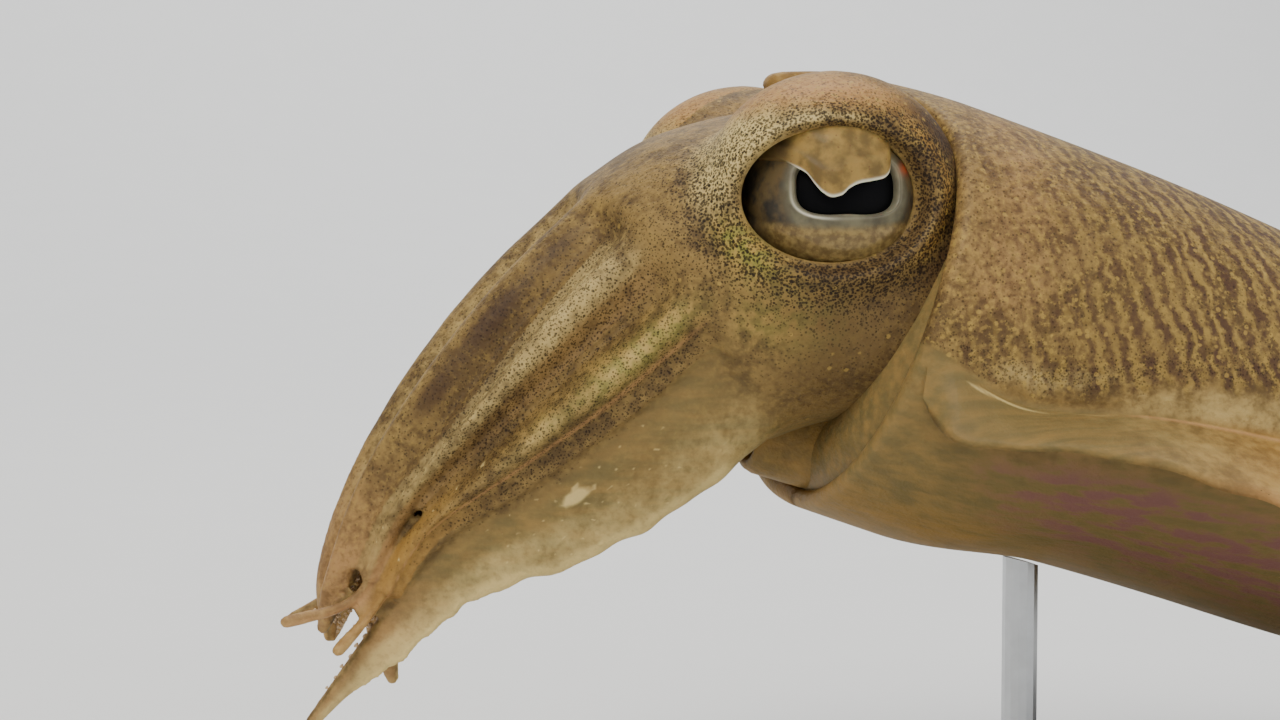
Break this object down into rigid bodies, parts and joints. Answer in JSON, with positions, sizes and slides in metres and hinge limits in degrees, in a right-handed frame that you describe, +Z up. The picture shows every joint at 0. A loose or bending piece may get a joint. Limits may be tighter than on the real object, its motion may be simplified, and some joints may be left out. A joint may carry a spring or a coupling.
{
  "type": "cuttlefish model on stand",
  "caption": "Life-size cuttlefish hovering with drooped arms, waving fin margins and wavy pupils, held on a plain base by rods.",
  "frame": {"origin": "centre of the underside of the stand's base, on the floor", "axes": "-X towards the head, +X towards the rear tip of the mantle, -Y towards the animal's left side, +Z up"},
  "size_m": [0.2421, 0.1138, 0.1127],
  "materials": {
    "skin": "moist skin, satin, tan with dark dots and wavy purple-brown bands",
    "belly_skin": "moist skin, satin, olive to golden",
    "fin": "moist, thin, pale tan and slightly translucent",
    "eye": "wet, glossy, silver-grey iris round a black wavy pupil",
    "steel": "brushed",
    "base": "matte dark paint"
  },
  "bodies": {
    "root": {"mantle": "skin", "head": "skin", "funnel": "belly_skin", "eye_left": "eye", "eye_right": "eye", "fin_left_front": "fin", "fin_left_rear": "fin", "fin_right_front": "fin", "fin_right_rear": "fin", "arm_left_1_base": "skin", "arm_left_1_tip": "skin", "arm_left_2_base": "skin", "arm_left_2_tip": "skin", "arm_left_3_base": "skin", "arm_left_3_tip": "skin", "arm_left_4_base": "skin", "arm_left_4_tip": "skin", "arm_right_1_base": "skin", "arm_right_1_tip": "skin", "arm_right_2_base": "skin", "arm_right_2_tip": "skin", "arm_right_3_base": "skin", "arm_right_3_tip": "skin", "arm_right_4_base": "skin", "arm_right_4_tip": "skin", "stand_base": "base", "stand_rod_front": "steel", "stand_rod_rear": "steel"}
  },
  "joints": []
}
